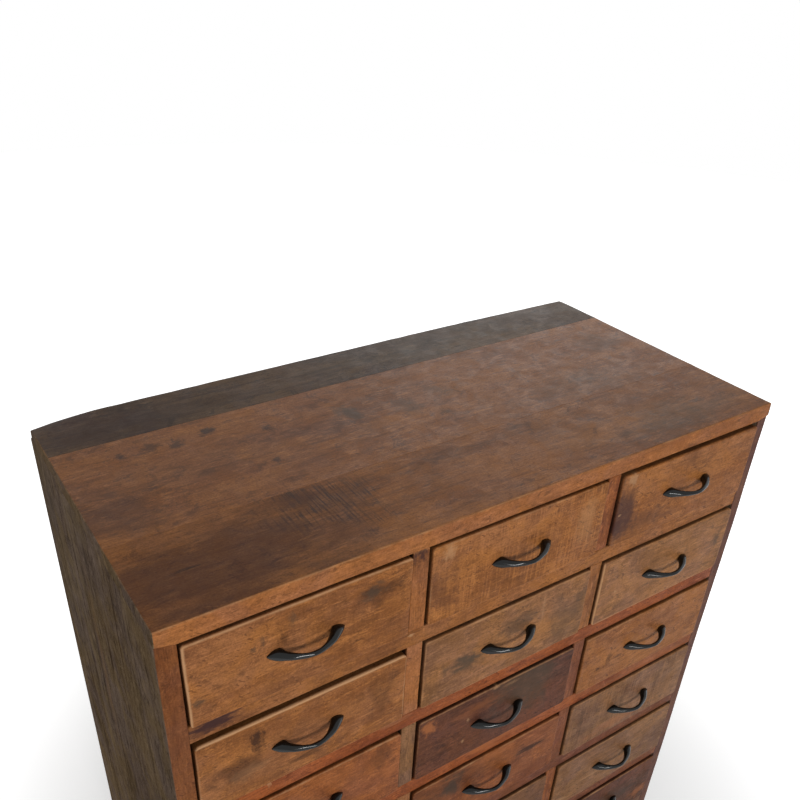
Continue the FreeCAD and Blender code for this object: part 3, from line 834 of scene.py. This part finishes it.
# How bare each edge of a front is rubbed: left, right, bottom, top
EDGE_RUB = {
    "r1c1": (1.3, 0.4, 0.35, 0.9),
    "r1c2": (0.5, 0.25, 0.5, 0.6),
    "r1c3": (0.25, 0.4, 0.2, 0.3),
    "r2c1": (0.6, 0.8, 0.5, 1.5),
    "r2c2": (0.6, 0.3, 0.7, 0.8),
    "r2c3": (1.2, 0.8, 0.9, 0.6),
    "r3c1": (0.5, 0.4, 0.4, 0.7),
}
PLAIN_RUB = (0.45, 0.4, 0.4, 0.65)
ROUND_RIGHT = {(-1, -1): 5.0 * MM, (-1, 1): 4.0 * MM, (1, -1): 9.0 * MM, (1, 1): 10.0 * MM}
SAWN_FRONTS = ("r1c2", "r4c3")
drawers = [(row, column, "r%dc%d" % (row + 1, column + 1)) for row in range(ROWS)
           for column in range(COLUMNS)]
for number, (row, column, label) in enumerate(drawers):
    low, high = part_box("drawer_front_" + label)
    rub = EDGE_RUB.get(label, PLAIN_RUB)
    arris = {
        LEFT: (2.0 * MM, rub[0]),
        RIGHT: (1.8 * MM, rub[1]),
        DOWN: (1.6 * MM, rub[2]),
        UP: (1.9 * MM, rub[3]),
    }
    corner = ROUND_RIGHT if label == "r2c3" else (3.5 + number % 4) * MM
    board = worn_board("front_" + label, low, high, FRONT, arris, corner=corner,
                       wander=0.8 * MM, seed=50.0 + number, spacing=0.012)
    # Old dirt and painted shade darken each front's faces in the gaps
    wood = timber("front_timber_" + label, FRONT_TONES[row][column], ALONG_X, 60.0 + 1.3 * number,
                  FRONT_MARKS.get(label, ()), saw=0.5 if label in SAWN_FRONTS else 0.1, dirt_and_shade=0.6)
    fit(board, "drawer_" + label, "front_wood", wood, "drawer_front_" + label)

# The drawer boxes: two long sides rounded along the top, a lower back board
# and a thin bottom panel in grooves, all of plain unwaxed softwood.
BOX_BOARD = 12.0 * MM
PANEL_UP = 10.0 * MM
PANEL_THICKNESS = 6.0 * MM
BACK_DROP = 5.0 * MM
PANEL_SIDE_INSET = 7.0 * MM
box_side_arris = {DOWN: (0.6 * MM, 0.1), UP: (2.2 * MM, 0.4), FRONT: (0.3 * MM, 0.0), BACK: (0.8 * MM, 0.2)}
box_back_arris = {DOWN: (0.5 * MM, 0.1), UP: (1.2 * MM, 0.3), LEFT: (0.3 * MM, 0.0), RIGHT: (0.3 * MM, 0.0)}
panel_arris = {LEFT: (0.3 * MM, 0.0), RIGHT: (0.3 * MM, 0.0), FRONT: (0.3 * MM, 0.0), BACK: (0.6 * MM, 0.2)}
box_timber = timber("box_timber", "plain", ALONG_Y, 81.0, figure=0.45, stains=0.2, bare="#c9a679")
box_back_timber = timber("box_back_timber", "plain", ALONG_X, 83.0, figure=0.45, stains=0.2, bare="#c9a679")
for number, (row, column, label) in enumerate(drawers):
    body, cad_box = "drawer_" + label, "drawer_box_" + label
    low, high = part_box(cad_box)
    front_back_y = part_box("drawer_front_" + label)[1].y
    panel_bottom = low.z + PANEL_UP
    panel_top = panel_bottom + PANEL_THICKNESS
    seed = 90.0 + number
    left_side = worn_board("box_left_" + label, (low.x, front_back_y, low.z),
                           (low.x + BOX_BOARD, high.y, high.z), LEFT, box_side_arris,
                           spacing=0.05, seed=seed)
    right_side = worn_board("box_right_" + label, (high.x - BOX_BOARD, front_back_y, low.z),
                            (high.x, high.y, high.z), RIGHT, box_side_arris,
                            spacing=0.05, seed=seed + 0.3)
    back_board = worn_board("box_back_" + label, (low.x + BOX_BOARD, high.y - BOX_BOARD, panel_top),
                            (high.x - BOX_BOARD, high.y, high.z - BACK_DROP), BACK,
                            box_back_arris, spacing=0.05, seed=seed + 0.5)
    panel = worn_board("box_panel_" + label, (low.x + PANEL_SIDE_INSET, front_back_y, panel_bottom),
                       (high.x - PANEL_SIDE_INSET, high.y, panel_top), UP,
                       panel_arris, spacing=0.05, seed=seed + 0.7)
    fit(left_side, body, "box_wood", box_timber, cad_box)
    fit(right_side, body, "box_wood", box_timber, cad_box)
    fit(back_board, body, "box_wood", box_back_timber, cad_box)
    fit(panel, body, "box_wood", box_back_timber, cad_box)

# The handles: a cast iron bow, black lacquered, slim in the middle and
# swelling into two leaf-shaped feet that lie flat on the drawer front.
# Each row, in mm: distance from the middle, back, front, half height, drop
BOW_PROFILE = [
    (0.0, 17.8, 24.0, 2.6, 0.0),
    (8.0, 17.2, 22.9, 3.1, 0.0),
    (16.0, 13.5, 20.7, 3.8, 0.0),
    (22.0, 8.3, 18.6, 4.1, 0.0),
    (27.0, 3.1, 16.4, 4.6, 0.0),
    (31.0, 0.3, 13.8, 5.6, 0.1),
    (36.0, 0.0, 10.2, 6.2, 0.6),
    (41.0, 0.0, 6.4, 4.7, 0.7),
    (44.5, 0.0, 3.2, 2.6, 0.8),
    (46.3, 0.0, 1.0, 0.7, 0.8),
]
BOW_STATIONS = 72
BOW_CORNERS = 24
BOW_TOE_EASE = 0.72
BAR_FACE_TILT = math.radians(32.0)
BAR_SQUARENESS = 2.7
FOOT_BELOW = 3.0
CROWDED_ENDS = 0.5


def profile_at(distance):
    """The bow's sizes at a distance from its middle, eased through the measured rows."""
    rows = [BOW_PROFILE[1]] + BOW_PROFILE + [BOW_PROFILE[-1]]
    for i in range(1, len(rows) - 2):
        start, end = rows[i][0], rows[i + 1][0]
        if distance <= end or i == len(rows) - 3:
            t = min(1.0, (distance - start) / (end - start))
            found = []
            for j in range(1, 5):
                before, one, other, after = (rows[i + k][j] for k in (-1, 0, 1, 2))
                turn = 2.0 * one + (other - before) * t
                turn += (2.0 * before - 5.0 * one + 4.0 * other - after) * t * t
                turn += (3.0 * one - before - 3.0 * other + after) * t * t * t
                found.append(turn / 2.0)
            return found


def bow_ring(along):
    """One cross section: nearly an ellipse in the bar, with its upper front a little
    flat. In the foot its back is flat and lies on the board."""
    back, front, half_height, drop = profile_at(abs(along))
    back = max(back, 0.0)
    flat = min(1.0, max(0.0, 1.0 - back / FOOT_BELOW))
    ring = []
    for i in range(BOW_CORNERS):
        angle = 2.0 * math.pi * i / BOW_CORNERS
        turned = angle - BAR_FACE_TILT
        swell = abs(math.cos(turned)) ** BAR_SQUARENESS + abs(math.sin(turned)) ** BAR_SQUARENESS
        swell = (swell / 2.0) ** (-1.0 / BAR_SQUARENESS) / 2.0 ** 0.5 * (1.0 - flat) + flat
        bow = (front + back) / 2.0 + (front - back) / 2.0 * math.cos(angle) * swell
        foot = front * max(0.0, math.cos(angle)) ** BOW_TOE_EASE
        stand_off = bow * (1.0 - flat) + foot * flat
        ring.append(Vector((along, -stand_off, half_height * math.sin(angle) * swell - drop)) * MM)
    return ring


def bow_mesh(name, middle):
    half_length = BOW_PROFILE[-1][0]
    points, quads = [], []
    for station in range(BOW_STATIONS + 1):
        share = station / BOW_STATIONS * 2.0 - 1.0
        bent = half_length * math.sin(share * math.pi / 2.0)
        along = bent * CROWDED_ENDS + half_length * share * (1.0 - CROWDED_ENDS)
        points += [middle + p for p in bow_ring(along)]
    for station in range(BOW_STATIONS):
        for i in range(BOW_CORNERS):
            after = (i + 1) % BOW_CORNERS
            a, b = station * BOW_CORNERS, (station + 1) * BOW_CORNERS
            quads.append([a + i, b + i, b + after, a + after])
    quads.append(list(range(BOW_CORNERS)))
    quads.append([BOW_STATIONS * BOW_CORNERS + i for i in reversed(range(BOW_CORNERS))])
    return link_mesh(name, points, quads)


def black_iron():
    """Black lacquer over sand-cast iron, rubbed a little brown in places."""
    material, tree, shader = new_material("black_iron")
    place = node(tree, "TexCoord").outputs["Object"]
    lumps = cloud(tree, place, 260.0, 4.0, 0.6)
    patches = cloud(tree, place, 70.0, 4.0, 0.6)
    rubbed = times(tree, ramp(tree, patches, 0.58, 0.72), 0.5)
    paint = blend(tree, rubbed, (0.003, 0.004, 0.004, 1.0), (0.012, 0.010, 0.008, 1.0))
    feed(tree, shader.inputs["Base Color"], paint)
    feed(tree, shader.inputs["Roughness"], ramp(tree, patches, 0.35, 0.7, 0.1, 0.2))
    shader.inputs["Specular IOR Level"].default_value = 0.28
    bump = node(tree, "Bump", None, Strength=0.25, Distance=0.2 * MM, Height=lumps)
    feed(tree, shader.inputs["Normal"], bump.outputs["Normal"])
    return material


# The screws: two to a handle, driven from inside the drawer. Each has a
# domed head with a cross recess, of plated steel gone dull.
SCREW_SPACING = 76.0 * MM
# Each ring of a head, in mm: its radius and how far it stands off the board
HEAD_RINGS = [(0.0, 2.6), (0.6, 2.6), (1.2, 2.55), (1.8, 2.5), (2.4, 2.4), (3.2, 2.1), (3.9, 1.5),
              (4.4, 0.5), (4.4, 0.0)]
HEAD_CORNERS = 32
RECESS_DEPTH = 1.5
RECESS_REACH = 2.5
RECESS_HALF_WIDTH = 0.55
SHANK_RADIUS = 2.0
SHANK_IN_FOOT = 4.0 * MM


def screw_mesh(name, places, head_y, shank_y):
    """Both screws of a handle: rings from the middle of each head out and down the shank."""
    points, faces = [], []
    for x, z in places:
        start = len(points)
        rings = [(r, head_y + h * MM, True) for r, h in HEAD_RINGS]
        rings += [(SHANK_RADIUS, head_y, False), (SHANK_RADIUS, shank_y, False), (0.0, shank_y, False)]
        for radius, y, is_head in rings:
            for i in range(HEAD_CORNERS):
                angle = 2.0 * math.pi * i / HEAD_CORNERS
                across = min(abs(math.sin(angle)), abs(math.cos(angle))) * radius
                is_recess = is_head and radius < RECESS_REACH and across < RECESS_HALF_WIDTH
                sunk = RECESS_DEPTH * MM if is_recess else 0.0
                points.append(Vector((x + radius * MM * math.cos(angle), y - sunk,
                                      z + radius * MM * math.sin(angle))))
        for ring in range(len(rings) - 1):
            for i in range(HEAD_CORNERS):
                a, b = start + ring * HEAD_CORNERS, start + (ring + 1) * HEAD_CORNERS
                after = (i + 1) % HEAD_CORNERS
                faces.append([a + i, a + after, b + after, b + i])
    return link_mesh(name, points, faces)


def dull_steel():
    """Plated steel gone dull, with brownish spots."""
    material, tree, shader = new_material("dull_steel")
    spots = cloud(tree, node(tree, "TexCoord").outputs["Object"], 400.0, 4.0, 0.6)
    paint = blend(tree, ramp(tree, spots, 0.4, 0.7), (0.35, 0.34, 0.32, 1.0), (0.16, 0.13, 0.11, 1.0))
    feed(tree, shader.inputs["Base Color"], paint)
    feed(tree, shader.inputs["Roughness"], ramp(tree, spots, 0.3, 0.7, 0.35, 0.6))
    shader.inputs["Metallic"].default_value = 1.0
    return material


iron = black_iron()
steel = dull_steel()
for row, column, label in drawers:
    front_low, front_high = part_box("drawer_front_" + label)
    handle_low, handle_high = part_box("handle_" + label)
    middle_x = (handle_low.x + handle_high.x) / 2.0
    middle = Vector((middle_x, front_low.y, sills[row] + opening_height / 2.0))
    bow = bow_mesh("bow_" + label, middle)
    fit(bow, "drawer_" + label, "black_iron", iron, "handle_" + label)
    places = [(middle.x - SCREW_SPACING / 2.0, middle.z), (middle.x + SCREW_SPACING / 2.0, middle.z)]
    screws = screw_mesh("screws_" + label, places, front_high.y, front_low.y - SHANK_IN_FOOT)
    fit(screws, "drawer_" + label, "black_iron", steel, "handle_" + label)

# The studio: a pale floor in a white surround. A wide soft key light stands in
# front and a little to the left, with softer ones behind on the right and on the
# left side.
FLOOR_RADIUS = 6.0
FLOOR_CORNERS = 96


def pale_floor():
    """White paper. The camera and reflections see it as plain white away from the chest."""
    material, tree, shader = new_material("pale_floor")
    shader.inputs["Roughness"].default_value = 0.9
    place = node(tree, "TexCoord").outputs["Object"]
    tooth = cloud(tree, place, 300.0, 3.0)
    paint = blend(tree, tooth, (0.80, 0.80, 0.80, 1.0), (0.84, 0.84, 0.84, 1.0))
    feed(tree, shader.inputs["Base Color"], paint)
    away = vectors(tree, "LENGTH", place, (0.0, 0.0, 0.0))
    path = node(tree, "LightPath").outputs
    seen = maths(tree, "MAXIMUM", path["Is Camera Ray"], path["Is Glossy Ray"])
    glow = times(tree, seen, ramp(tree, away, 0.45, 1.2, 0.38, 1.0))
    shader.inputs["Emission Color"].default_value = (1.0, 1.0, 1.0, 1.0)
    feed(tree, shader.inputs["Emission Strength"], glow)
    return material


rim = []
for i in range(FLOOR_CORNERS):
    angle = 2.0 * math.pi * i / FLOOR_CORNERS
    rim.append((FLOOR_RADIUS * math.cos(angle), FLOOR_RADIUS * math.sin(angle), 0.0))
floor = link_mesh("floor", rim, [list(range(FLOOR_CORNERS))])
floor.data.materials.append(pale_floor())

world = bpy.data.worlds.new("white_surround")
world.use_nodes = True
bpy.context.scene.world = world
surround = world.node_tree
background = surround.nodes["Background"]
path = node(surround, "LightPath").outputs
seen = maths(surround, "MAXIMUM", path["Is Camera Ray"], path["Is Glossy Ray"])
AMBIENT = 0.22
background.inputs["Color"].default_value = (1.0, 1.0, 1.0, 1.0)
feed(surround, background.inputs["Strength"], ramp(surround, seen, 0.0, 1.0, AMBIENT, 1.0))


def soft_light(name, place, target, width, height, power):
    data = bpy.data.lights.new(name, "AREA")
    data.shape = "RECTANGLE"
    data.size, data.size_y, data.energy = width, height, power
    light = bpy.data.objects.new(name, data)
    bpy.context.scene.collection.objects.link(light)
    light.location = place
    light.rotation_euler = (Vector(target) - Vector(place)).to_track_quat("-Z", "Y").to_euler()


soft_light("key_light", (-0.5, -3.1, 1.75), (0.0, -0.2, 0.65), 1.5, 0.5, 56.0)
soft_light("far_light", (2.4, 2.4, 2.5), (0.1, 0.0, 0.9), 2.0, 1.6, 16.0)
soft_light("side_light", (-3.0, 1.9, 1.5), (-0.4, 0.0, 0.5), 1.6, 1.6, 18.0)

# The camera stands where the photograph's did: above the front left corner,
# looking down, with the picture's middle moved off the lens axis as in the photograph.
CAMERA_PLACE = (-0.5996, -0.7915, 1.4922)
CAMERA_AHEAD = Vector((0.46686, 0.69199, -0.55063))
CAMERA_RIGHT = Vector((0.84036, -0.54105, 0.03257))
camera_data = bpy.data.cameras.new("camera")
camera_data.sensor_width = 36.0
camera_data.lens = 38.487
camera_data.shift_x = 0.0234
camera_data.shift_y = 0.1006
camera = bpy.data.objects.new("camera", camera_data)
bpy.context.scene.collection.objects.link(camera)
camera_up = CAMERA_RIGHT.cross(CAMERA_AHEAD)
camera.matrix_world = Matrix.Translation(CAMERA_PLACE) @ Matrix(
    (CAMERA_RIGHT, camera_up, -CAMERA_AHEAD)).transposed().to_4x4()
bpy.context.scene.camera = camera
bpy.context.scene.view_settings.view_transform = "Standard"
